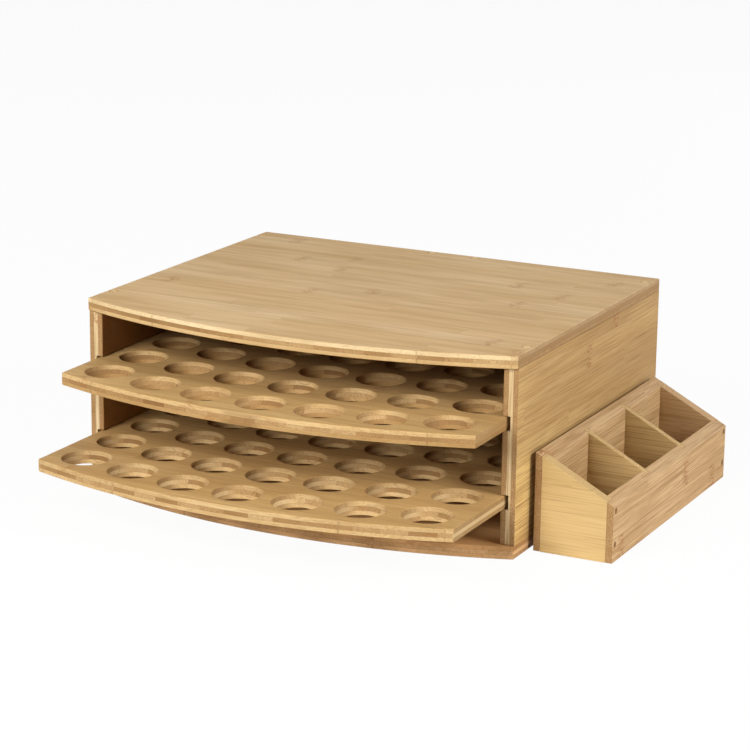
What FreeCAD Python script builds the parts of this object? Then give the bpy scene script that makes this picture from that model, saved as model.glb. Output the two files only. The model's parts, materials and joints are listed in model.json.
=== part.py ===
import FreeCAD, Part
import os
import re
import Sketcher

# Bamboo coffee pod drawer: a bow-fronted cabinet whose two holed trays slide in grooves,
# and a caddy with a sloped top and three bays that stands by itself beside the cabinet.
# Millimetres, +Z up, front towards -Y. The origin is on the cabinet's underside,
# in the middle of its width and halfway along its straight sides.

SIZES = {
    # Cabinet
    "cabinet_width": 390.0,
    "cabinet_height": 164.5,
    "side_depth": 303.0,
    "front_bow": 36.0,
    "board_thickness": 10.5,
    "side_thickness": 12.6,
    "side_setback": 1.5,
    "back_thickness": 10.0,
    # Trays, with the height of each underside and how far each is drawn out
    "tray_thickness": 10.5,
    "lower_tray_height": 40.1,
    "upper_tray_height": 104.0,
    "lower_tray_pull": 88.5,
    "upper_tray_pull": 52.0,
    "groove_depth": 6.2,
    "tray_side_gap": 2.9,
    "tray_back_gap": 1.0,
    "slide_clearance": 0.5,
    # Pod holes, the first row measured back from the tray's front edge
    "hole_diameter": 40.6,
    "column_pitch": 51.2,
    "row_pitch": 53.1,
    "first_row_inset": 32.5,
    # Wooden pegs that hold the top and the base to the sides and the back
    "peg_diameter": 8.0,
    "peg_length": 30.0,
    "front_peg_inset": 30.0,
    "rear_peg_inset": 18.0,
    "back_peg_spacing": 42.0,
    # Caddy
    "caddy_gap": 4.5,
    "caddy_offset": 6.0,
    "caddy_width": 67.0,
    "caddy_length": 259.0,
    "caddy_inner_height": 81.5,
    "caddy_outer_height": 46.6,
    "caddy_panel": 10.0,
    "caddy_rebate": 4.5,
    "caddy_divider": 5.7,
    "caddy_bottom": 5.0,
    "caddy_pin_diameter": 5.0,
    "caddy_pin_length": 22.0,
    "caddy_pin_low": 14.5,
    "caddy_pin_inset": 4.6,
}

# Pegs are six-sided, which keeps the many small pieces light
PEG_SIDES = 6

# Formulas that several pieces share
FRONT_RADIUS = "((cabinet_width ^ 2 / 4 + front_bow ^ 2) / (2 * front_bow))"
HALF_WIDTH = "cabinet_width / 2"
BACK = "side_depth / 2"
INNER_HALF = "(cabinet_width / 2 - side_thickness)"
SIDE_HEIGHT = "(cabinet_height - 2 * board_thickness)"
TRAY_HALF = "(cabinet_width / 2 - side_thickness + groove_depth - tray_side_gap)"
TRAY_BACK = "(side_depth / 2 - back_thickness - tray_back_gap)"
CADDY_X = "(cabinet_width / 2 + caddy_gap)"
CADDY_FRONT = "(caddy_offset - caddy_length / 2)"
CADDY_BAY = "((caddy_length - 2 * caddy_panel - 2 * caddy_divider) / 3)"
CADDY_SEAT = "(caddy_panel - caddy_rebate)"


def front_line(x):
    """Y of the bowed front edge at x, for a board that is flush with the cabinet's front."""
    return f"(-side_depth / 2 - front_bow + {FRONT_RADIUS} - sqrt({FRONT_RADIUS} ^ 2 - ({x}) ^ 2))"


# As many holes as fit across the tray and along its sides
HOLE_COLUMNS = f"floor(2 * {TRAY_HALF} / column_pitch)"
HOLE_ROWS = f"(floor(({TRAY_BACK} - {front_line(TRAY_HALF)} - 2 * first_row_inset) / row_pitch) + 1)"


def caddy_top(x):
    """Height of the caddy's sloped top at x, measured from its inner face."""
    return f"(caddy_inner_height - (caddy_inner_height - caddy_outer_height) * ({x}) / caddy_width)"


doc = FreeCAD.newDocument("coffee_pod_drawer")
sheet = doc.addObject("Spreadsheet::Sheet", "Sizes")
for row, (name, size) in enumerate(SIZES.items(), start=1):
    sheet.set(f"A{row}", name)
    sheet.set(f"B{row}", str(size))
    sheet.setAlias(f"B{row}", name)
doc.recompute()


def formula(text):
    """The same formula with each size name pointing at the spreadsheet."""
    return re.sub("[a-z_]+", lambda word: f"Sizes.{word[0]}" if word[0] in SIZES else word[0], text)


def number(text):
    """The present value of a formula, which starts a sketch's geometry in its place."""
    return float(sheet.evalExpression(formula(text)))


def bind(thing, path, text):
    thing.setExpression(path, formula(text))


def place(thing, x, y, z):
    bind(thing, "Placement.Base.x", x)
    bind(thing, "Placement.Base.y", y)
    bind(thing, "Placement.Base.z", z)


# Sketches and features

def new_body(label):
    body = doc.addObject("PartDesign::Body", "Body")
    body.Label = label
    return body


def sketch_on(body, role, lift="0"):
    """A sketch on one of the body's own origin planes, lifted along the plane's normal."""
    sketch = body.newObject("Sketcher::SketchObject", "Sketch")
    plane = next(item for item in body.Origin.OriginFeatures if item.Role == role)
    sketch.AttachmentSupport = [(plane, "")]
    sketch.MapMode = "FlatFace"
    bind(sketch, "AttachmentOffset.Base.z", lift)
    return sketch


def pin(sketch, geometry, point, x, y):
    """Hold one point of a sketch at two formulas, measured from the sketch's origin."""
    for kind, text in (("DistanceX", x), ("DistanceY", y)):
        index = sketch.addConstraint(Sketcher.Constraint(kind, -1, 1, geometry, point, number(text)))
        bind(sketch, f"Constraints[{index}]", text)


def radius(sketch, geometry, text):
    index = sketch.addConstraint(Sketcher.Constraint("Radius", geometry, number(text)))
    bind(sketch, f"Constraints[{index}]", text)


def join(sketch, first, second):
    """Tie the end of one side to the start of the next."""
    sketch.addConstraint(Sketcher.Constraint("Coincident", first, 2, second, 1))


def vector(x, y):
    return FreeCAD.Vector(number(x), number(y), 0)


def lines(sketch, corners):
    """Straight sides from corner to corner, each corner held by its formulas."""
    sides = []
    for start, end in zip(corners, corners[1:]):
        side = sketch.addGeometry(Part.LineSegment(vector(*start), vector(*end)))
        pin(sketch, side, 1, *start)
        sides.append(side)
    for first, second in zip(sides, sides[1:]):
        join(sketch, first, second)
    return sides


def polygon(sketch, corners):
    sides = lines(sketch, corners + corners[:1])
    join(sketch, sides[-1], sides[0])


def rectangle(sketch, x_low, x_high, y_low, y_high):
    polygon(sketch, [(x_low, y_low), (x_high, y_low), (x_high, y_high), (x_low, y_high)])


def bowed_outline(sketch, half, back):
    """A board with straight sides and back, and the cabinet's bowed front."""
    front = front_line(half)
    sides = lines(sketch, [(half, front), (half, back), (f"-{half}", back), (f"-{half}", front)])
    middle = vector("0", "-side_depth / 2 - front_bow")
    bow = sketch.addGeometry(Part.Arc(vector(f"-{half}", front), middle, vector(half, front)))
    join(sketch, sides[-1], bow)
    join(sketch, bow, sides[0])
    pin(sketch, bow, 1, f"-{half}", front)
    radius(sketch, bow, FRONT_RADIUS)


def pad(body, sketch, length, backwards=False):
    feature = body.newObject("PartDesign::Pad", "Pad")
    feature.Profile = sketch
    feature.Reversed = backwards
    bind(feature, "Length", length)
    doc.recompute()


def pocket(body, sketch, depth=None, backwards=False):
    """Cut a sketch to a depth, or right through where none is given."""
    before = body.Shape.Volume
    feature = body.newObject("PartDesign::Pocket", "Pocket")
    feature.Profile = sketch
    feature.Reversed = backwards
    if depth is None:
        feature.Type = "ThroughAll"
    else:
        bind(feature, "Length", depth)
    doc.recompute()
    if body.Shape.Volume >= before:
        raise RuntimeError(f"a pocket in {body.Label} cuts nothing")
    return feature


# Cabinet boards and panels

def cabinet_board(label, height):
    body = new_body(label)
    sketch = sketch_on(body, "XY_Plane")
    bowed_outline(sketch, HALF_WIDTH, BACK)
    pad(body, sketch, "board_thickness")
    place(body, "0", "0", height)
    return body


def side_panel(label, side):
    """side is 1 on the right and -1 on the left; the panel's inner face is on its own YZ plane."""
    body = new_body(label)
    front = "(side_setback - side_depth / 2)"
    sketch = sketch_on(body, "YZ_Plane")
    rectangle(sketch, front, BACK, "0", SIDE_HEIGHT)
    pad(body, sketch, "side_thickness", backwards=side < 0)
    grooves = sketch_on(body, "YZ_Plane")
    for height in ("lower_tray_height", "upper_tray_height"):
        low = f"{height} - board_thickness - slide_clearance"
        high = f"{height} - board_thickness + tray_thickness + slide_clearance"
        rectangle(grooves, f"{front} - groove_depth", f"{BACK} - back_thickness", low, high)
    pocket(body, grooves, "groove_depth", backwards=side > 0)
    place(body, f"{side} * {INNER_HALF}", "0", "board_thickness")
    return body


def back_panel(label):
    body = new_body(label)
    sketch = sketch_on(body, "XY_Plane")
    rectangle(sketch, f"-{INNER_HALF}", INNER_HALF, f"{BACK} - back_thickness", BACK)
    pad(body, sketch, SIDE_HEIGHT)
    place(body, "0", "0", "board_thickness")
    return body


def pod_tray(label, height, pull):
    """A bow-fronted tray whose rows of holes follow the curve of its front edge."""
    body = new_body(label)
    sketch = sketch_on(body, "XY_Plane")
    bowed_outline(sketch, TRAY_HALF, TRAY_BACK)
    pad(body, sketch, "tray_thickness")
    row = sketch_on(body, "XY_Plane", "tray_thickness")
    columns = int(number(HOLE_COLUMNS))
    for column in range(columns):
        x = f"{column - (columns - 1) / 2} * column_pitch"
        y = f"{front_line(x)} + first_row_inset"
        circle = Part.Circle(vector(x, y), FreeCAD.Vector(0, 0, 1), number("hole_diameter / 2"))
        hole = row.addGeometry(circle)
        pin(row, hole, 3, x, y)
        radius(row, hole, "hole_diameter / 2")
    first_row = pocket(body, row)
    rows = body.newObject("PartDesign::LinearPattern", "Rows")
    rows.Originals = [first_row]
    rows.Direction = (row, ["V_Axis"])
    bind(rows, "Length", f"({HOLE_ROWS} - 1) * row_pitch")
    bind(rows, "Occurrences", HOLE_ROWS)
    body.Tip = rows
    place(body, "0", f"-{pull}", height)
    return body


# Pegs

def peg(diameter, length, aim, x, y, z):
    """A peg whose outer end is at x, y, z, driven in the direction of aim."""
    piece = doc.addObject("Part::Prism", "Peg")
    piece.Polygon = PEG_SIDES
    bind(piece, "Circumradius", f"{diameter} / 2")
    bind(piece, "Height", length)
    piece.Placement.Rotation = FreeCAD.Rotation(FreeCAD.Vector(0, 0, 1), FreeCAD.Vector(*aim))
    place(piece, x, y, z)
    return piece


def group(label, pieces):
    """Separate solids that share one name."""
    whole = doc.addObject("Part::Compound", "Group")
    whole.Label = label
    whole.Links = pieces
    return whole


def drilled(label, blank, *pegs):
    """A board with a hole of each peg's own shape, so that every peg is seated."""
    piece = blank
    blank.Label = f"{label}_blank"
    for pegs_of_one_group in pegs:
        cut = doc.addObject("Part::Cut", "Drilled")
        cut.Base = piece
        cut.Tool = pegs_of_one_group
        doc.recompute()
        if cut.Shape.Volume >= piece.Shape.Volume:
            raise RuntimeError(f"a group of pegs misses {label}")
        piece = cut
    piece.Label = label
    return piece


# Caddy boards

def caddy_slice(label, x_low, x_high, z_low, y_low, thickness):
    """An upright board across or along the caddy, with its top cut to the caddy's slope."""
    body = new_body(label)
    sketch = sketch_on(body, "XZ_Plane")
    polygon(sketch, [(x_low, z_low), (x_high, z_low), (x_high, caddy_top(x_high)), (x_low, caddy_top(x_low))])
    pad(body, sketch, thickness, backwards=True)
    place(body, CADDY_X, f"{CADDY_FRONT} + {y_low}", "0")
    return body


def caddy_long_wall(label, x_low, inside):
    """A long wall with rebates for the ends and housings for the dividers cut into its inside face."""
    body = caddy_slice(label, x_low, f"({x_low} + caddy_panel)", "0", "0", "caddy_length")
    cut_low = f"({inside} - caddy_rebate)"
    cut_high = f"({inside} + caddy_rebate)"
    rebates = sketch_on(body, "XY_Plane")
    rectangle(rebates, cut_low, cut_high, "-caddy_panel", "caddy_panel")
    rectangle(rebates, cut_low, cut_high, "caddy_length - caddy_panel", "caddy_length + caddy_panel")
    pocket(body, rebates, backwards=True)
    housings = sketch_on(body, "XY_Plane", "caddy_bottom")
    for start in DIVIDER_STARTS:
        rectangle(housings, cut_low, cut_high, start, f"{start} + caddy_divider")
    pocket(body, housings, backwards=True)
    return body


def caddy_cross_board(label, z_low, y_low, thickness):
    """An end or a divider, which spans from seat to seat between the long walls."""
    return caddy_slice(label, CADDY_SEAT, f"(caddy_width - {CADDY_SEAT})", z_low, y_low, thickness)


def caddy_floor(label):
    body = new_body(label)
    sketch = sketch_on(body, "XY_Plane")
    rectangle(sketch, "caddy_panel", "caddy_width - caddy_panel", "caddy_panel", "caddy_length - caddy_panel")
    pad(body, sketch, "caddy_bottom")
    place(body, CADDY_X, CADDY_FRONT, "0")
    return body


DIVIDER_STARTS = [
    f"(caddy_panel + {CADDY_BAY})",
    f"(caddy_panel + 2 * {CADDY_BAY} + caddy_divider)",
]

# Cabinet pegs: down through the top and up through the base

UP = (0, 0, 1)
DOWN = (0, 0, -1)
RIGHT = (1, 0, 0)
LEFT = (-1, 0, 0)

SIDE_MIDDLE = "(cabinet_width / 2 - side_thickness / 2)"
SIDE_PEGS = [
    (f"{side} * {SIDE_MIDDLE}", y)
    for side in (-1, 1)
    for y in ("front_peg_inset - side_depth / 2", "side_depth / 2 - rear_peg_inset")
]
BACK_PEGS = [(f"{side} * back_peg_spacing / 2", f"{BACK} - back_thickness / 2") for side in (-1, 1)]
top_pegs = group(
    "top_pegs",
    [peg("peg_diameter", "peg_length", DOWN, x, y, "cabinet_height") for x, y in SIDE_PEGS + BACK_PEGS],
)
base_pegs = group("base_pegs", [peg("peg_diameter", "peg_length", UP, x, y, "0") for x, y in SIDE_PEGS])

# Caddy pins: through the long walls into the edges of the ends

END_MIDDLES = [
    f"{CADDY_FRONT} + caddy_panel / 2",
    f"{CADDY_FRONT} + caddy_length - caddy_panel / 2",
]
OUTER_HEIGHTS = ["caddy_pin_low", "caddy_outer_height - caddy_pin_inset"]
INNER_HEIGHTS = ["caddy_pin_low", f"{caddy_top('caddy_pin_length')} - caddy_pin_inset"]


def caddy_pins(label, aim, x, heights):
    spots = [(y, z) for y in END_MIDDLES for z in heights]
    return group(label, [peg("caddy_pin_diameter", "caddy_pin_length", aim, x, y, z) for y, z in spots])


caddy_outer_pins = caddy_pins("caddy_outer_pins", LEFT, f"{CADDY_X} + caddy_width", OUTER_HEIGHTS)
caddy_inner_pins = caddy_pins("caddy_inner_pins", RIGHT, CADDY_X, INNER_HEIGHTS)

# All the pieces

OUTER_WALL_X = "(caddy_width - caddy_panel)"
REAR_END_Y = "(caddy_length - caddy_panel)"
caddy_pin_groups = [caddy_inner_pins, caddy_outer_pins]
pieces = [
    drilled("top_board", cabinet_board("blank", "cabinet_height - board_thickness"), top_pegs),
    drilled("base_board", cabinet_board("blank", "0"), base_pegs),
    drilled("left_side_panel", side_panel("blank", -1), top_pegs, base_pegs),
    drilled("right_side_panel", side_panel("blank", 1), top_pegs, base_pegs),
    drilled("back_panel", back_panel("blank"), top_pegs),
    pod_tray("upper_tray", "upper_tray_height", "upper_tray_pull"),
    pod_tray("lower_tray", "lower_tray_height", "lower_tray_pull"),
    top_pegs,
    base_pegs,
    drilled("caddy_inner_wall", caddy_long_wall("blank", "0", "caddy_panel"), caddy_inner_pins),
    drilled("caddy_outer_wall", caddy_long_wall("blank", OUTER_WALL_X, OUTER_WALL_X), caddy_outer_pins),
    drilled("caddy_front_end", caddy_cross_board("blank", "0", "0", "caddy_panel"), *caddy_pin_groups),
    drilled("caddy_rear_end", caddy_cross_board("blank", "0", REAR_END_Y, "caddy_panel"), *caddy_pin_groups),
    caddy_cross_board("caddy_front_divider", "caddy_bottom", DIVIDER_STARTS[0], "caddy_divider"),
    caddy_cross_board("caddy_rear_divider", "caddy_bottom", DIVIDER_STARTS[1], "caddy_divider"),
    caddy_floor("caddy_floor"),
    caddy_inner_pins,
    caddy_outer_pins,
]
doc.recompute()

# Nothing is written unless every feature and every piece came out whole

for thing in doc.Objects:
    if "Invalid" in thing.State or "Error" in thing.State:
        raise RuntimeError(f"{thing.Label} failed: {thing.State}")
for piece in pieces:
    if piece.Shape.isNull() or not piece.Shape.isValid():
        raise RuntimeError(f"{piece.Label} has no valid shape")

os.makedirs("parts", exist_ok=True)
for piece in pieces:
    piece.Shape.exportStep(f"parts/{piece.Label}.step")
    print(piece.Label, len(piece.Shape.Solids), "solids,", round(piece.Shape.Volume / 1000, 1), "cm3")
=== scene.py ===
import json
import math
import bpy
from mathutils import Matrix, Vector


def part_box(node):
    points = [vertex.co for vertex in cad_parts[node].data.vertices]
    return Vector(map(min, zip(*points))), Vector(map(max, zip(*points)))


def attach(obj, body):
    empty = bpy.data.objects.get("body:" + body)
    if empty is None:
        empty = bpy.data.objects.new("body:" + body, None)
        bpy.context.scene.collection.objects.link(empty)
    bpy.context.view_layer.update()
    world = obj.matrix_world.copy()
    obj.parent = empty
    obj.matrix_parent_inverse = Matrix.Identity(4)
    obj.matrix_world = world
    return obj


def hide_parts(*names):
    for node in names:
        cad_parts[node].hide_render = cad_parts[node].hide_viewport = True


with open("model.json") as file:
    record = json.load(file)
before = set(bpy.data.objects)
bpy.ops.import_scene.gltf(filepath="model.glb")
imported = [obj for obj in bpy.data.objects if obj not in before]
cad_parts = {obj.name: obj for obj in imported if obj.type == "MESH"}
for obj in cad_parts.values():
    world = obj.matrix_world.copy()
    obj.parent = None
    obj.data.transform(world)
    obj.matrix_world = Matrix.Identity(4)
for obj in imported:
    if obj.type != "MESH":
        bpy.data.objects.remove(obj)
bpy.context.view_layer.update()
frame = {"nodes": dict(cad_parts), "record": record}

from types import SimpleNamespace

import bmesh
import bpy
from mathutils import Color, Matrix, Vector
from mathutils.geometry import delaunay_2d_cdt

# Bamboo coffee pod drawer: a bow-fronted cabinet with two holed trays, and a caddy beside it.
# Metres, in the frame of the solids: +Z up, the front towards -Y.

MM = 0.001
nodes = frame["nodes"]
scene = bpy.context.scene
scene.view_settings.view_transform = "Standard"


# Places read from the frame

top_low, top_high = [Vector(corner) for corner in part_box("top_board")]
HALF_WIDTH = top_high.x
BACK = top_high.y
FRONT_CORNER = -BACK
BOW = FRONT_CORNER - top_low.y
BOW_RADIUS = (HALF_WIDTH ** 2 + BOW ** 2) / (2 * BOW)
openings = {opening["name"]: opening["box_m"] for opening in frame["record"]["physics"]["openings"]}


def hole_middle(row, column):
    """The middle of a hole of the lower tray, counted from the front left."""
    low, high = openings[f"lower_tray_row_{row}_hole_{column}"]
    return (Vector(low) + Vector(high)) / 2


HOLE_COLUMNS = 7
HOLE_ROWS = 5
MIDDLE_COLUMN = (HOLE_COLUMNS + 1) // 2
COLUMN_PITCH = hole_middle(1, 2).x - hole_middle(1, 1).x
ROW_PITCH = hole_middle(2, 1).y - hole_middle(1, 1).y
FIRST_ROW_INSET = hole_middle(1, MIDDLE_COLUMN).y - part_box("lower_tray")[0][1]

# Sizes of the fine detail

HOLE_TOP_RADIUS = 20.3 * MM
HOLE_BOTTOM_RADIUS = 17.3 * MM
HOLE_SEGMENTS = 64
BOW_SEGMENTS = 96
EASE = 0.7 * MM
EASE_BULGE = 0.3
SOLID_EASE = 0.6 * MM
SOLID_EASE_SEGMENTS = 2
SOLID_EASE_ANGLE = math.radians(40)
CORNER_RADIUS = 1.2 * MM
CORNER_STEPS = 4
PEG_RADIUS = 3.6 * MM
PEG_HOLE_RADIUS = 4.0 * MM
PEG_HOLE_EASE = 0.1 * MM
PEG_EASE = 0.3 * MM
PEG_SINK = 0.15 * MM
PIN_RADIUS = 2.3 * MM
PIN_HOLE_RADIUS = 2.6 * MM
PLUG_RADIUS = 3.5 * MM
PLUG_DEPTH = 3 * MM
TURNED_SEGMENTS = 32

# How near two points of a solid's mesh are when they are one, for its eased edges and for its pegs
SOLID_WELD = 0.005 * MM
PEG_WELD = 0.001 * MM

LARGE_FACE_WEIGHT = 100
TRIANGLES_WITHIN_OUTLINE = 1
TRIANGLE_TOLERANCE = 1e-9


# Mesh helpers

def bow_drop(x):
    """How far the bowed front has fallen back at x from its foremost point."""
    return BOW_RADIUS - math.sqrt(BOW_RADIUS ** 2 - x ** 2)


def rounded(corners, radius):
    """A counter-clockwise outline with each marked corner turned into a small arc."""
    outline = []
    count = len(corners)
    for index, (point, is_corner) in enumerate(corners):
        if not is_corner:
            outline.append(point)
            continue
        into = (corners[index - 1][0] - point).normalized()
        away = (corners[(index + 1) % count][0] - point).normalized()
        half_angle = into.angle(away) / 2
        reach = radius / math.tan(half_angle)
        centre = point + (into + away).normalized() * radius / math.sin(half_angle)
        first = point + into * reach - centre
        sweep = math.pi - 2 * half_angle
        for step in range(CORNER_STEPS + 1):
            turn = Matrix.Rotation(sweep * step / CORNER_STEPS, 2)
            outline.append(centre + turn @ first)
    return outline


def drawn_in(outline, inset):
    """The same outline moved inwards by an inset."""
    moved = []
    count = len(outline)
    for index, point in enumerate(outline):
        before = (point - outline[index - 1]).normalized()
        after = (outline[(index + 1) % count] - point).normalized()
        normal_before = Vector((before.y, -before.x))
        normal_after = Vector((after.y, -after.x))
        both = normal_before + normal_after
        moved.append(point - both * inset / (1 + normal_before.dot(normal_after)))
    return moved


def circle(x, y, radius):
    turns = [2 * math.pi * step / HOLE_SEGMENTS for step in range(HOLE_SEGMENTS)]
    return [Vector((x + radius * math.cos(turn), y + radius * math.sin(turn))) for turn in turns]


def even_shading(piece):
    """Smooth shading that leaves the large faces flat."""
    piece.data.polygons.foreach_set("use_smooth", [True] * len(piece.data.polygons))
    weigh = piece.modifiers.new("face_weighted_normals", "WEIGHTED_NORMAL")
    weigh.mode = "FACE_AREA"
    weigh.weight = LARGE_FACE_WEIGHT


def finish_mesh(name, mesh):
    bmesh.ops.recalc_face_normals(mesh, faces=mesh.faces)
    data = bpy.data.meshes.new(name)
    mesh.to_mesh(data)
    mesh.free()
    piece = bpy.data.objects.new(name, data)
    scene.collection.objects.link(piece)
    even_shading(piece)
    return piece


def ring(mesh, points, z):
    return [mesh.verts.new((point.x, point.y, z)) for point in points]


def skirt(mesh, upper, lower):
    """Quads between two rings of as many points."""
    for index in range(len(upper)):
        after = (index + 1) % len(upper)
        mesh.faces.new((upper[index], upper[after], lower[after], lower[index]))


def holed_face(mesh, outer, hole_rims):
    """A flat face between an outer ring and the rims of its holes."""
    verts = []
    owners = []
    edges = []
    for owner, loop in enumerate([outer] + hole_rims):
        first = len(verts)
        count = len(loop)
        verts.extend(loop)
        owners.extend([owner] * count)
        edges.extend((first + index, first + (index + 1) % count) for index in range(count))
    flat = [Vector((vert.co.x, vert.co.y)) for vert in verts]
    filled = delaunay_2d_cdt(flat, edges, [], TRIANGLES_WITHIN_OUTLINE, TRIANGLE_TOLERANCE)
    _, _, triangles, origins, _, _ = filled
    for triangle in triangles:
        corners = [origins[corner][0] for corner in triangle]
        owner = owners[corners[0]]
        inside_hole = owner > 0 and all(owners[corner] == owner for corner in corners)
        if not inside_hole:
            mesh.faces.new([verts[corner] for corner in corners])


def eased_profile(low, high, ease):
    """(inset, height) from the upper face, round the edge, down the wall and round to the lower face."""
    soft = EASE_BULGE * ease
    upper_edge = [(ease, high), (soft, high - soft), (0, high - ease)]
    lower_edge = [(0, low + ease), (soft, low + soft), (ease, low)]
    return upper_edge + lower_edge


def eased_board(name, outline, low, high, holes, hole_ease=EASE):
    """A flat board with eased edges. Each hole is (x, y, top radius, bottom radius)."""
    mesh = bmesh.new()
    outer_rings = [ring(mesh, drawn_in(outline, inset), z) for inset, z in eased_profile(low, high, EASE)]
    hole_rings = []
    for x, y, top_radius, bottom_radius in holes:
        rings = []
        for inset, z in eased_profile(low, high, hole_ease):
            share = (high - z) / (high - low)
            radius = top_radius + (bottom_radius - top_radius) * share + inset
            rings.append(ring(mesh, circle(x, y, radius), z))
        hole_rings.append(rings)
    for rings in [outer_rings] + hole_rings:
        for upper, lower in zip(rings, rings[1:]):
            skirt(mesh, upper, lower)
    holed_face(mesh, outer_rings[0], [rings[0] for rings in hole_rings])
    holed_face(mesh, outer_rings[-1], [rings[-1] for rings in hole_rings])
    return finish_mesh(name, mesh)


def bowed_outline(half, apex, back):
    """Straight sides and back, and the cabinet's bowed front with its foremost point at apex."""
    corners = []
    for step in range(BOW_SEGMENTS + 1):
        x = half * (2 * step / BOW_SEGMENTS - 1)
        corners.append((Vector((x, apex + bow_drop(x))), step in (0, BOW_SEGMENTS)))
    corners.append((Vector((half, back)), True))
    corners.append((Vector((-half, back)), True))
    return rounded(corners, CORNER_RADIUS)


def turned(name, profile, spots, axis):
    """A small round piece at each spot, turned from a profile of (radius, distance) along an axis."""
    mesh = bmesh.new()
    tilt = Vector((0, 0, 1)).rotation_difference(Vector(axis)).to_matrix()
    for spot in spots:
        rings = []
        for radius, distance in profile:
            loop = []
            for step in range(TURNED_SEGMENTS):
                turn = 2 * math.pi * step / TURNED_SEGMENTS
                local = Vector((radius * math.cos(turn), radius * math.sin(turn), distance))
                loop.append(mesh.verts.new(Vector(spot) + tilt @ local))
            rings.append(loop)
        for upper, lower in zip(rings, rings[1:]):
            skirt(mesh, upper, lower)
        mesh.faces.new(rings[0])
        mesh.faces.new(rings[-1])
    return finish_mesh(name, mesh)


def soften(piece):
    """Ease the edges of a mesh that comes from a solid."""
    weld = piece.modifiers.new("weld", "WELD")
    weld.merge_threshold = SOLID_WELD
    bevel = piece.modifiers.new("eased_edges", "BEVEL")
    bevel.width = SOLID_EASE
    bevel.segments = SOLID_EASE_SEGMENTS
    bevel.limit_method = "ANGLE"
    bevel.angle_limit = SOLID_EASE_ANGLE
    bevel.harden_normals = True


# Material helpers

def tone(red, green, blue):
    """A colour written as it looks on screen, from 0 to 255."""
    shown = Color((red / 255, green / 255, blue / 255))
    return (*shown.from_srgb_to_scene_linear(), 1.0)


def feed(tree, value, socket):
    if isinstance(value, bpy.types.NodeSocket):
        tree.links.new(value, socket)
    else:
        socket.default_value = value


def calc(tree, operation, *values):
    node = tree.nodes.new("ShaderNodeMath")
    node.operation = operation
    for value, socket in zip(values, node.inputs):
        feed(tree, value, socket)
    return node.outputs["Value"]


def gap(tree, value, other):
    """The distance between two values."""
    return calc(tree, "ABSOLUTE", calc(tree, "SUBTRACT", value, other))


def fade(tree, value, low, high, start=0.0, end=1.0, smooth=True):
    """A step from start to end while value goes from low to high."""
    node = tree.nodes.new("ShaderNodeMapRange")
    node.interpolation_type = "SMOOTHSTEP" if smooth else "LINEAR"
    for item, socket in zip((value, low, high, start, end), node.inputs):
        feed(tree, item, socket)
    return node.outputs["Result"]


def mix(tree, data_type, ending, factor, first, second):
    """A Mix node, whose sockets for each type of data have their own ending."""
    node = tree.nodes.new("ShaderNodeMix")
    node.data_type = data_type
    inputs = {socket.identifier: socket for socket in node.inputs}
    outputs = {socket.identifier: socket for socket in node.outputs}
    feed(tree, factor, inputs["Factor_Float"])
    feed(tree, first, inputs["A_" + ending])
    feed(tree, second, inputs["B_" + ending])
    return outputs["Result_" + ending]


def blend(tree, factor, first, second):
    """A mix of two colours."""
    return mix(tree, "RGBA", "Color", factor, first, second)


def pick(tree, factor, first, second):
    """A mix of two numbers."""
    return mix(tree, "FLOAT", "Float", factor, first, second)


def ramp(tree, factor, shades):
    """A colour that goes through three shades, from the darkest to the lightest."""
    node = tree.nodes.new("ShaderNodeValToRGB")
    feed(tree, factor, node.inputs["Fac"])
    elements = node.color_ramp.elements
    elements.new(0.5)
    for element, shade in zip(elements, shades):
        element.color = shade
    return node.outputs["Color"]


def triple(tree, x, y, z):
    node = tree.nodes.new("ShaderNodeCombineXYZ")
    for value, socket in zip((x, y, z), node.inputs):
        feed(tree, value, socket)
    return node.outputs["Vector"]


def parts_along(tree, vector, axes):
    """A vector's parts along the named axes."""
    split = tree.nodes.new("ShaderNodeSeparateXYZ")
    feed(tree, vector, split.inputs["Vector"])
    return [split.outputs[axis.upper()] for axis in axes]


def noise(tree, vector, scale, detail, roughness):
    node = tree.nodes.new("ShaderNodeTexNoise")
    feed(tree, vector, node.inputs["Vector"])
    node.inputs["Scale"].default_value = scale
    node.inputs["Detail"].default_value = detail
    node.inputs["Roughness"].default_value = roughness
    return node.outputs[0]


def chance(tree, x, y, z):
    """A random value from 0 to 1 for each whole-number place."""
    node = tree.nodes.new("ShaderNodeTexWhiteNoise")
    node.noise_dimensions = "3D"
    feed(tree, triple(tree, x, y, z), node.inputs["Vector"])
    return node.outputs["Value"]


# Bamboo: sizes of its pattern. A cane is the length of a strip from one knuckle to the next.

STRIP_WIDTH = 21 * MM
STRIP_MIDDLE = 0.5
CANE_LENGTH = 210 * MM
KNUCKLE_REACH = 9 * MM
KNUCKLE_CORE = 0.3
KNUCKLE_BAR = 3 * MM
SEAM_WIDTH = 0.3 * MM
GLUE_WIDTH = 0.25 * MM

# A three-ply board: where its core begins and ends, and how deep the tones of its faces reach, which differ
# from those of its edges
CORE_LOW = 0.34
CORE_HIGH = 0.66
SKIN = 0.04
NEVER_REACHED = 2.0

# Each board's own draws: how its seed moves the strips and sets the chances
STRIP_SHIFT = 17.3
CANE_SPREAD = 9.0
GRAIN_SHIFT = 3.0
STRIP_DRAW = 0.3
START_DRAW = 0.5
KNUCKLE_DRAW = 0.7
CANE_DRAW = 1.7

# Patterns: how far each is drawn out along the grain, then its scale, detail and roughness
CLOUD = (0.3, 24.0, 2.0, 0.5)
BAND = (0.1, 80.0, 3.0, 0.6)
LINE = (0.011, 1150.0, 3.0, 0.7)
DASH = (0.012, 1000.0, 2.0, 0.5)
FLECK = (0.3, 700.0, 2.0, 0.6)

# Dots of the end grain, which aren't drawn out: scale, detail and roughness
DOT = (900.0, 1.0, 0.5)

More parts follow.
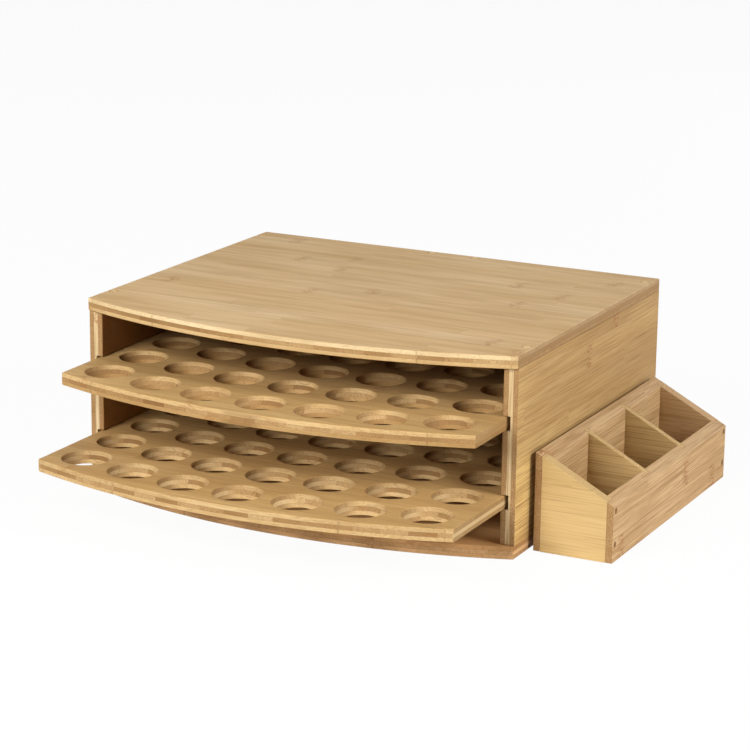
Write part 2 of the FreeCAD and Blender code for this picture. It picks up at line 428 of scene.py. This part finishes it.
# From which to which value of its pattern, or of its chance, a mark comes in
SOFT_LEVELS = (0.3, 0.7)
BAND_LEVELS = (0.4, 0.66)
LINE_LEVELS = (0.46, 0.62)
DASH_LEVELS = (0.58, 0.68)
FLECK_LEVELS = (0.48, 0.58)
DOT_LEVELS = (0.52, 0.66)
KNUCKLE_LEVELS = (0.45, 0.55)
END_LEVELS = (0.4, 1.0)

# How strong each mark is, and what share of a strip's tone is its own
STRIP_SHARE = 0.5
CORE_STRIP_SHARE = 0.85
CANE_SHARE = 0.3
# Painted shade on the side panels: its greatest share of a strip's tone, and how much a step towards the
# back counts as a step up
PAINTED_SHADE_SHARE = 0.6
PAINTED_SHADE_LEAN = 0.3
DASH_SHARE = 0.7
DOT_SHARE = 0.4
CORE_END_SHARE = 0.25
BAR_SHARE = 0.1
SEAM_SHARE = 0.35
GLUE_SHARE = 0.4

# Surface
ROUGHNESS = (0.6, 0.66)
SPECULAR = 0.18
BUMP_STRENGTH = 0.12
BUMP_DEPTH = 0.2 * MM

# Tones of the marks
GLUE_TONE = tone(104, 70, 34)
DASH_TONE = tone(118, 86, 46)
STREAK_TONE = tone(152, 112, 62)
KNUCKLE_TONE = tone(146, 94, 50)
END_TONE = tone(136, 98, 54)
DOT_TONE = tone(112, 76, 40)

# Tones of a ply's strips, from the darkest to the lightest
PALE = [tone(205, 169, 119), tone(214, 181, 133), tone(223, 193, 149)]
GOLDEN = [tone(152, 118, 70), tone(190, 155, 100), tone(238, 205, 136)]
YELLOW = [tone(194, 162, 107), tone(202, 171, 116), tone(210, 180, 126)]
TAN = [tone(191, 155, 110), tone(199, 164, 119), tone(207, 173, 128)]
OLIVE = [tone(187, 150, 96), tone(197, 161, 106), tone(206, 171, 116)]
HONEY = [tone(182, 151, 104), tone(192, 162, 114), tone(201, 172, 124)]
CREAM = [tone(204, 178, 130), tone(214, 190, 145), tone(222, 200, 157)]
STRAW = [tone(186, 154, 104), tone(196, 165, 115), tone(206, 176, 126)]
UMBER = [tone(156, 121, 73), tone(168, 134, 84), tone(180, 147, 97)]
CORE = [tone(112, 78, 42), tone(168, 134, 88), tone(210, 180, 130)]
BUFF = [tone(198, 156, 108), tone(208, 167, 119), tone(216, 176, 129)]
RUSSET = [tone(178, 132, 84), tone(192, 148, 98), tone(202, 160, 110)]
# Painted shade: the darker tones of the faces that look into the cabinet, whose inside lies in shade
INSIDE_PAINTED_SHADE = [tone(134, 92, 48), tone(148, 106, 60), tone(160, 118, 70)]
PEG = [tone(222, 188, 138), tone(230, 198, 148), tone(236, 206, 158)]
DARK = [tone(74, 44, 32), tone(88, 54, 38), tone(100, 64, 46)]


# Bamboo: one function for each layer of its pattern. wood holds what the layers share.

def lay_plies(tree, axes, span, three_ply):
    """Where a point lies along the grain, across the strips and through the plies."""
    sources = tree.nodes.new("ShaderNodeTexCoord").outputs
    wood = SimpleNamespace(three_ply=three_ply, place=sources["Object"])
    wood.along, wood.across, wood.through = parts_along(tree, wood.place, axes)
    wood.faces_along, wood.faces_across = parts_along(tree, sources["Normal"], axes[:2])
    wood.depth = fade(tree, wood.through, *span, smooth=False)
    wood.thickness = span[1] - span[0]
    wood.above_low = calc(tree, "GREATER_THAN", wood.depth, CORE_LOW if three_ply else NEVER_REACHED)
    wood.above_core = calc(tree, "GREATER_THAN", wood.depth, CORE_HIGH if three_ply else NEVER_REACHED)
    wood.ply = calc(tree, "ADD", wood.above_low, wood.above_core)
    wood.crossed = calc(tree, "SUBTRACT", wood.above_low, wood.above_core)
    wood.grain = pick(tree, wood.crossed, wood.along, wood.across)
    wood.side = pick(tree, wood.crossed, wood.across, wood.along)
    return wood


def lay_strips(tree, wood, seed):
    """Strips glued side by side, which change their tone a little from cane to cane."""
    wood.strip_place = calc(tree, "MULTIPLY_ADD", wood.side, 1 / STRIP_WIDTH, seed * STRIP_SHIFT)
    wood.strip = calc(tree, "FLOOR", wood.strip_place)
    start = calc(tree, "MULTIPLY", chance(tree, wood.strip, wood.ply, seed + START_DRAW), CANE_SPREAD)
    wood.cane_place = calc(tree, "MULTIPLY_ADD", wood.grain, 1 / CANE_LENGTH, start)
    cane = calc(tree, "FLOOR", wood.cane_place)
    strip_tone = chance(tree, wood.strip, wood.ply, seed + STRIP_DRAW)
    cane_tone = chance(tree, wood.strip, cane, calc(tree, "ADD", wood.ply, seed * CANE_DRAW))
    wood.own_tone = pick(tree, CANE_SHARE, strip_tone, cane_tone)


def drawn_out(tree, wood, grain, pattern):
    """A pattern of noise that is drawn out along the grain."""
    share, scale, detail, roughness = pattern
    place = triple(tree, calc(tree, "MULTIPLY", grain, share), wood.side, wood.through)
    return noise(tree, place, scale, detail, roughness)


def strip_colours(tree, wood, tones, faces, painted_shade_span):
    """Tones of the plies' strips and, where they differ, of the board's two faces."""
    cloud = fade(tree, drawn_out(tree, wood, wood.grain, CLOUD), *SOFT_LEVELS)
    strip_share = pick(tree, wood.crossed, STRIP_SHARE, CORE_STRIP_SHARE)
    shade = pick(tree, strip_share, cloud, wood.own_tone)
    # Painted shade: the strips darken slowly from the first of the two heights to the second
    if painted_shade_span:
        lean = calc(tree, "MULTIPLY_ADD", wood.along, PAINTED_SHADE_LEAN, wood.across)
        painted_shade = fade(tree, lean, *painted_shade_span, PAINTED_SHADE_SHARE, 0.0)
        shade = calc(tree, "MULTIPLY_ADD", shade, 1 - PAINTED_SHADE_SHARE, painted_shade)
    colours = [ramp(tree, shade, shades) for shades in tones]
    colour = colours[0]
    if wood.three_ply:
        colour = blend(tree, wood.above_low, colour, colours[1])
        colour = blend(tree, wood.above_core, colour, colours[2])
    if faces:
        low_face, high_face = [ramp(tree, shade, shades) for shades in faces]
        colour = blend(tree, calc(tree, "LESS_THAN", wood.depth, SKIN), colour, low_face)
        colour = blend(tree, calc(tree, "GREATER_THAN", wood.depth, 1 - SKIN), colour, high_face)
    return colour


def grain_marks(tree, wood, colour, bands, lines):
    """Soft bands, fine lines and short dark dashes along the grain."""
    own_grain = calc(tree, "MULTIPLY_ADD", wood.own_tone, GRAIN_SHIFT, wood.grain)
    wood.band = drawn_out(tree, wood, own_grain, BAND)
    wood.line = drawn_out(tree, wood, own_grain, LINE)
    dash = drawn_out(tree, wood, own_grain, DASH)
    colour = blend(tree, fade(tree, wood.band, *BAND_LEVELS, 0.0, bands), colour, STREAK_TONE)
    colour = blend(tree, fade(tree, wood.line, *LINE_LEVELS, 0.0, lines), colour, STREAK_TONE)
    return blend(tree, fade(tree, dash, *DASH_LEVELS, 0.0, DASH_SHARE * lines), colour, DASH_TONE)


def end_grain(tree, wood, colour, ends, core_sides):
    """Darker, dotted ends of the strips, and the long sides of a core."""
    end_on = calc(tree, "ABSOLUTE", pick(tree, wood.crossed, wood.faces_along, wood.faces_across))
    end_share = fade(tree, end_on, *END_LEVELS)
    darker = calc(tree, "MULTIPLY", end_share, pick(tree, wood.crossed, ends, CORE_END_SHARE))
    colour = blend(tree, darker, colour, END_TONE)
    dots = fade(tree, noise(tree, wood.place, *DOT), *DOT_LEVELS, 0.0, DOT_SHARE)
    colour = blend(tree, calc(tree, "MULTIPLY", end_share, dots), colour, DOT_TONE)
    if core_sides:
        side_tone, side_share = core_sides
        side_on = fade(tree, calc(tree, "ABSOLUTE", wood.faces_along), *END_LEVELS, 0.0, side_share)
        colour = blend(tree, calc(tree, "MULTIPLY", wood.crossed, side_on), colour, side_tone)
    return colour


def knuckles(tree, wood, colour, seed, flecked):
    """On some strips, a faint bar across, with flecks along the grain, where two canes meet."""
    joint = calc(tree, "ROUND", wood.cane_place)
    joint_gap = gap(tree, wood.cane_place, joint)
    shown = fade(tree, chance(tree, wood.strip, joint, seed + KNUCKLE_DRAW), *KNUCKLE_LEVELS)
    bar = fade(tree, joint_gap, 0.0, KNUCKLE_BAR / CANE_LENGTH, BAR_SHARE, 0.0)
    reach = KNUCKLE_REACH / CANE_LENGTH
    patch = fade(tree, joint_gap, KNUCKLE_CORE * reach, reach, flecked, 0.0)
    flecks = fade(tree, drawn_out(tree, wood, wood.grain, FLECK), *FLECK_LEVELS)
    knuckle = calc(tree, "MULTIPLY_ADD", patch, flecks, bar)
    return blend(tree, calc(tree, "MULTIPLY", knuckle, shown), colour, KNUCKLE_TONE)


def seams(tree, wood, colour):
    """Seams between the strips, and glue lines between the plies."""
    middle_gap = gap(tree, calc(tree, "FRACT", wood.strip_place), STRIP_MIDDLE)
    seam_start = STRIP_MIDDLE - SEAM_WIDTH / STRIP_WIDTH
    seam = fade(tree, middle_gap, seam_start, STRIP_MIDDLE, 0.0, SEAM_SHARE)
    colour = blend(tree, seam, colour, GLUE_TONE)
    if wood.three_ply:
        reach = GLUE_WIDTH / wood.thickness
        for level in (CORE_LOW, CORE_HIGH):
            glue = fade(tree, gap(tree, wood.depth, level), 0.0, reach, GLUE_SHARE, 0.0)
            colour = blend(tree, glue, colour, GLUE_TONE)
    return colour


def sanded_surface(tree, wood, colour):
    shader = tree.nodes["Principled BSDF"]
    feed(tree, colour, shader.inputs["Base Color"])
    feed(tree, fade(tree, wood.band, *SOFT_LEVELS, *ROUGHNESS), shader.inputs["Roughness"])
    shader.inputs["Specular IOR Level"].default_value = SPECULAR
    bump = tree.nodes.new("ShaderNodeBump")
    bump.inputs["Strength"].default_value = BUMP_STRENGTH
    bump.inputs["Distance"].default_value = BUMP_DEPTH
    feed(tree, wood.line, bump.inputs["Height"])
    feed(tree, bump.outputs["Normal"], shader.inputs["Normal"])


def bamboo(name, axes, span, seed, tones, bands=0.25, lines=0.3, faces=None, painted_shade_span=None,
           ends=0.5, core_sides=None, flecked=0.42):
    """Laminated bamboo as a solid texture. axes names the directions along the grain, across the strips
    and through the plies, and span is the board's thickness. tones are those of the low ply, the core and
    the high ply, or of a single ply. The strips of a core run across the others. bands, lines and flecked
    are how strong the soft bands, the fine lines and the flecks at the knuckles are. faces are the tones of
    the low and the high face of a three-ply board. Two heights across the strips, where given, paint a
    shade on the strips that slowly darkens them from the first height to the second. ends is how much
    darker the end grain of the outer plies is, and core_sides is the tone that the long sides of a core
    take on, with its share."""
    material = bpy.data.materials.new(name)
    material.use_nodes = True
    tree = material.node_tree
    wood = lay_plies(tree, axes, span, three_ply=len(tones) == 3)
    lay_strips(tree, wood, seed)
    colour = strip_colours(tree, wood, tones, faces, painted_shade_span)
    colour = grain_marks(tree, wood, colour, bands, lines)
    colour = end_grain(tree, wood, colour, ends, core_sides)
    colour = knuckles(tree, wood, colour, seed, flecked)
    colour = seams(tree, wood, colour)
    sanded_surface(tree, wood, colour)
    return material


# Putting pieces in place of the frame's solids


def dress(piece, material):
    if piece.material_slots:
        for slot in piece.material_slots:
            slot.material = material
    else:
        piece.data.materials.append(material)


def stand_for(node, piece, material, body="cabinet"):
    dress(piece, material)
    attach(piece, body)
    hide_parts(node)


def extent(node, axis):
    low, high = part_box(node)
    index = "xyz".index(axis)
    return low[index], high[index]


def peg_spots(node):
    """Centres of the pegs in a group, from the separate solids of its mesh."""
    mesh = bmesh.new()
    mesh.from_mesh(nodes[node].data)
    bmesh.ops.remove_doubles(mesh, verts=mesh.verts, dist=PEG_WELD)
    spots = []
    unseen = set(mesh.verts)
    while unseen:
        island = [unseen.pop()]
        for vert in island:
            for edge in vert.link_edges:
                other = edge.other_vert(vert)
                if other in unseen:
                    unseen.remove(other)
                    island.append(other)
        low = Vector([min(vert.co[axis] for vert in island) for axis in range(3)])
        high = Vector([max(vert.co[axis] for vert in island) for axis in range(3)])
        spots.append((low + high) / 2)
    mesh.free()
    return spots


def round_pegs(node, axis, radius, material):
    """Round pegs with eased ends, sunk a little at both ends of the solids that they lie in."""
    low, high = extent(node, axis)
    length = high - low - 2 * PEG_SINK
    profile = [(radius - PEG_EASE, 0), (radius, PEG_EASE)]
    profile += [(rim, length - distance) for rim, distance in reversed(profile)]
    direction = Vector([float(axis == letter) for letter in "xyz"])
    starts = [spot - direction * length / 2 for spot in peg_spots(node)]
    stand_for(node, turned("round_" + node, profile, starts, direction), material)


# Cabinet boards and their pegs. A peg is one ply, so the span of its wood has no effect.

SINGLE_PLY_SPAN = (0.0, 1.0)


def bowed_board(node, pegs, seed, tones, faces, bands, lines, ends, core_sides):
    low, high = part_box(node)
    holes = [(spot.x, spot.y, PEG_HOLE_RADIUS, PEG_HOLE_RADIUS) for spot in peg_spots(pegs)]
    outline = bowed_outline(HALF_WIDTH, low[1], high[1])
    piece = eased_board("eased_" + node, outline, low[2], high[2], holes, PEG_HOLE_EASE)
    board_bamboo = bamboo(node + "_bamboo", "xyz", extent(node, "z"), seed, tones, bands, lines, faces,
                          ends=ends, core_sides=core_sides)
    stand_for(node, piece, board_bamboo)


# The top board's underside takes the painted shade of the inside.
# The top board's upper ply is a paler, less saturated cream at its edges than on its face: a painted sheen
# on its eased edges.
bowed_board("top_board", "top_pegs", seed=1, tones=[STRAW, CORE, CREAM], faces=(INSIDE_PAINTED_SHADE, PALE),
            bands=0.25, lines=0.25, ends=0.65, core_sides=(END_TONE, 0.8))
bowed_board("base_board", "base_pegs", seed=2, tones=[BUFF, BUFF, RUSSET], faces=(RUSSET, RUSSET),
            bands=0.3, lines=0.3, ends=0.5, core_sides=None)
peg_bamboo = bamboo("peg_bamboo", "xyz", SINGLE_PLY_SPAN, seed=5, tones=[PEG])
for group in ("top_pegs", "base_pegs"):
    round_pegs(group, "z", PEG_RADIUS, peg_bamboo)

# Side and back panels

PANEL_PLIES = [TAN, CREAM, TAN]
# Each side panel's inner face takes the painted shade of the inside.
for node, seed, faces in (
    ("left_side_panel", 3, (GOLDEN, INSIDE_PAINTED_SHADE)),
    ("right_side_panel", 4, (INSIDE_PAINTED_SHADE, GOLDEN)),
):
    soften(nodes[node])
    low, high = [Vector(corner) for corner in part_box(node)]
    # Painted shade: the side panels' strips darken towards the top and the back
    painted_shade_span = (low.z + PAINTED_SHADE_LEAN * low.y, high.z + PAINTED_SHADE_LEAN * high.y)
    panel_bamboo = bamboo(node + "_bamboo", "yzx", extent(node, "x"), seed, PANEL_PLIES,
                          bands=0.4, lines=0.7, faces=faces, painted_shade_span=painted_shade_span, flecked=0.85)
    dress(nodes[node], panel_bamboo)
soften(nodes["back_panel"])
# The back panel's inner face takes the painted shade of the inside.
back_bamboo = bamboo("back_bamboo", "xzy", extent("back_panel", "y"), seed=7, tones=PANEL_PLIES,
                     bands=0.2, lines=0.6, faces=(INSIDE_PAINTED_SHADE, OLIVE))
dress(nodes["back_panel"], back_bamboo)


# Trays

def tray(node, seed, tones, core_sides):
    low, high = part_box(node)
    holes = []
    for row in range(HOLE_ROWS):
        for column in range(HOLE_COLUMNS):
            x = (column - (HOLE_COLUMNS - 1) / 2) * COLUMN_PITCH
            y = low[1] + bow_drop(x) + FIRST_ROW_INSET + row * ROW_PITCH
            holes.append((x, y, HOLE_TOP_RADIUS, HOLE_BOTTOM_RADIUS))
    outline = bowed_outline(high[0], low[1], high[1])
    piece = eased_board("holed_" + node, outline, low[2], high[2], holes)
    tray_bamboo = bamboo(node + "_bamboo", "xyz", extent(node, "z"), seed, tones,
                         bands=0.25, lines=0.4, faces=(OLIVE, OLIVE), core_sides=core_sides)
    stand_for(node, piece, tray_bamboo, node)


tray("upper_tray", seed=8, tones=[UMBER, CORE, STRAW], core_sides=None)
tray("lower_tray", seed=9, tones=[STRAW, CORE, HONEY], core_sides=(CREAM[1], 0.35))

# Caddy boards that keep the shape of their solids

for node, axes, seed, tones, lines in (
    ("caddy_front_end", "xzy", 11, YELLOW, 0.3),
    ("caddy_rear_end", "xzy", 12, TAN, 0.5),
    ("caddy_front_divider", "xzy", 13, YELLOW, 0.5),
    ("caddy_rear_divider", "xzy", 14, YELLOW, 0.5),
    ("caddy_floor", "yxz", 15, TAN, 0.5),
):
    soften(nodes[node])
    caddy_bamboo = bamboo(node + "_bamboo", axes, extent(node, axes[2]), seed, [tones],
                          bands=0.1, lines=lines)
    dress(nodes[node], caddy_bamboo)


# Caddy's long walls, each bored afresh for its round pins

def bored_wall(node, pins, inward, seed):
    """A copy of the wall whose pin holes are plugged at the outer face and bored round. inward is the
    direction along X from the outer face into the wall."""
    wall = bpy.data.objects.new("bored_" + node, nodes[node].data.copy())
    scene.collection.objects.link(wall)
    soften(wall)
    low, high = extent(node, "x")
    outer_face = low if inward > 0 else high
    starts = [Vector((outer_face, spot.y, spot.z)) for spot in peg_spots(pins)]
    plugs = turned("plugs", [(PLUG_RADIUS, 0), (PLUG_RADIUS, PLUG_DEPTH)], starts, (inward, 0, 0))
    outside = [start - Vector((inward * PLUG_DEPTH, 0, 0)) for start in starts]
    reach = high - low + 2 * PLUG_DEPTH
    bores = turned("bores", [(PIN_HOLE_RADIUS, 0), (PIN_HOLE_RADIUS, reach)], outside, (inward, 0, 0))
    for tool, operation in ((plugs, "UNION"), (bores, "DIFFERENCE")):
        cut = wall.modifiers.new("cut", "BOOLEAN")
        cut.operation = operation
        cut.object = tool
    shape = bpy.data.meshes.new_from_object(wall.evaluated_get(bpy.context.evaluated_depsgraph_get()))
    wall.modifiers.clear()
    wall.data = shape
    for tool in (plugs, bores):
        bpy.data.objects.remove(tool)
    even_shading(wall)
    wall_bamboo = bamboo(node + "_bamboo", "yzx", (low, high), seed, [TAN],
                         bands=0.35, lines=0.7, flecked=0.8)
    stand_for(node, wall, wall_bamboo)


pin_bamboo = bamboo("pin_bamboo", "xyz", SINGLE_PLY_SPAN, seed=6, tones=[DARK])
bored_wall("caddy_inner_wall", "caddy_inner_pins", inward=1, seed=16)
bored_wall("caddy_outer_wall", "caddy_outer_pins", inward=-1, seed=17)
for group in ("caddy_inner_pins", "caddy_outer_pins"):
    round_pegs(group, "x", PIN_RADIUS, pin_bamboo)

# Camera, fitted to the photograph's view

FOCAL_LENGTH = 124.835
SENSOR_WIDTH = 36.0
CAMERA_PLACE = Vector((958.9, -1921.1, 670.7)) * MM
AZIMUTH = math.radians(26.614)
ELEVATION = math.radians(15.185)
ROLL = math.radians(0.707)

backward = Vector((
    math.sin(AZIMUTH) * math.cos(ELEVATION),
    -math.cos(AZIMUTH) * math.cos(ELEVATION),
    math.sin(ELEVATION),
))
level_right = Vector((math.cos(AZIMUTH), math.sin(AZIMUTH), 0))
level_up = backward.cross(level_right)
right = level_right * math.cos(ROLL) + level_up * math.sin(ROLL)
up = level_up * math.cos(ROLL) - level_right * math.sin(ROLL)
camera_turn = Matrix((right, up, backward)).transposed().to_4x4()
lens = bpy.data.cameras.new("camera")
lens.lens = FOCAL_LENGTH
lens.sensor_width = SENSOR_WIDTH
camera = bpy.data.objects.new("camera", lens)
scene.collection.objects.link(camera)
camera.matrix_world = Matrix.Translation(CAMERA_PLACE) @ camera_turn
scene.camera = camera


# Floor and world

FLOOR_HALF = 12.0
FLOOR_GREY = (0.9, 0.9, 0.9, 1)
FLOOR_ROUGHNESS = 0.9
FLOOR_WHITE = 0.95
WORLD_WHITE = (1, 1, 1, 1)
WORLD_SEEN = 1.0
AMBIENT = 0.03


def seen(tree):
    """1 for the rays that show the floor or the world itself, and 0 for those that bring its light."""
    rays = tree.nodes.new("ShaderNodeLightPath").outputs
    straight_or_glossy = calc(tree, "MAXIMUM", rays["Is Camera Ray"], rays["Is Glossy Ray"])
    return calc(tree, "MAXIMUM", straight_or_glossy, rays["Is Transmission Ray"])


floor_corners = [(x * FLOOR_HALF, y * FLOOR_HALF, 0) for x, y in ((-1, -1), (1, -1), (1, 1), (-1, 1))]
floor_data = bpy.data.meshes.new("floor")
floor_data.from_pydata(floor_corners, [], [(0, 1, 2, 3)])
floor = bpy.data.objects.new("floor", floor_data)
scene.collection.objects.link(floor)

floor_material = bpy.data.materials.new("floor")
floor_material.use_nodes = True
floor_tree = floor_material.node_tree
floor_shader = floor_tree.nodes["Principled BSDF"]
floor_shader.inputs["Base Color"].default_value = FLOOR_GREY
floor_shader.inputs["Roughness"].default_value = FLOOR_ROUGHNESS
floor_glow = floor_tree.nodes.new("ShaderNodeEmission")
floor_mix = floor_tree.nodes.new("ShaderNodeMixShader")
floor_share = calc(floor_tree, "MULTIPLY", seen(floor_tree), FLOOR_WHITE)
floor_shaders = (floor_shader.outputs["BSDF"], floor_glow.outputs["Emission"])
for value, socket in zip((floor_share, *floor_shaders), floor_mix.inputs):
    feed(floor_tree, value, socket)
feed(floor_tree, floor_mix.outputs["Shader"], floor_tree.nodes["Material Output"].inputs["Surface"])
floor_data.materials.append(floor_material)

world = bpy.data.worlds.new("studio")
scene.world = world
world.use_nodes = True
world_tree = world.node_tree
background = world_tree.nodes["Background"]
background.inputs["Color"].default_value = WORLD_WHITE
feed(world_tree, pick(world_tree, seen(world_tree), AMBIENT, WORLD_SEEN), background.inputs["Strength"])


# Lamps

LAMP_AIM = Vector((0, -0.05, 0.08))


def lamp(name, place, size, power):
    light = bpy.data.lights.new(name, "AREA")
    light.shape = "DISK"
    light.size = size
    light.energy = power
    item = bpy.data.objects.new(name, light)
    scene.collection.objects.link(item)
    item.location = place
    item.rotation_euler = (LAMP_AIM - Vector(place)).to_track_quat("-Z", "Y").to_euler()


lamp("key", place=(-0.28, -1.66, 0.95), size=1.0, power=36)
lamp("fill", place=(2.7, -0.3, 1.4), size=1.4, power=70)
lamp("rear", place=(0.6, 2.4, 0.4), size=1.0, power=20)
lamp("left", place=(-2.4, 0.4, 0.7), size=1.2, power=14)
